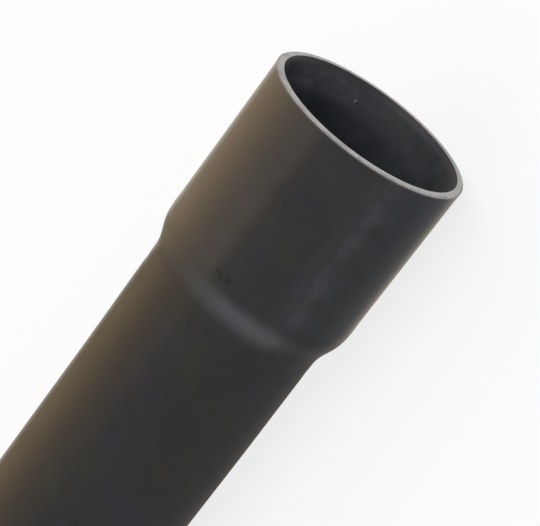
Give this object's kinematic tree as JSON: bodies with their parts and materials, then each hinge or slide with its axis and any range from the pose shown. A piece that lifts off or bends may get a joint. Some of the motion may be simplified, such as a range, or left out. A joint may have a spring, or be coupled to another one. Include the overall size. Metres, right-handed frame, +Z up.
{
  "type": "pvc pressure pipe",
  "caption": "Straight plastic pressure pipe with a plain spigot at one end and a belled solvent-cement socket at the other.",
  "frame": {"origin": "on the floor, straight below the axis, halfway along the pipe", "axes": "+X along the pipe's axis towards the socket, +Z up, with the pipe lying on its side"},
  "size_m": [1.105, 0.1218, 0.1218],
  "materials": {
    "pipe": "dark grey extruded PVC-U with a dull sheen and light scuffs"
  },
  "bodies": {
    "root": {"pipe": "pipe"}
  },
  "joints": []
}
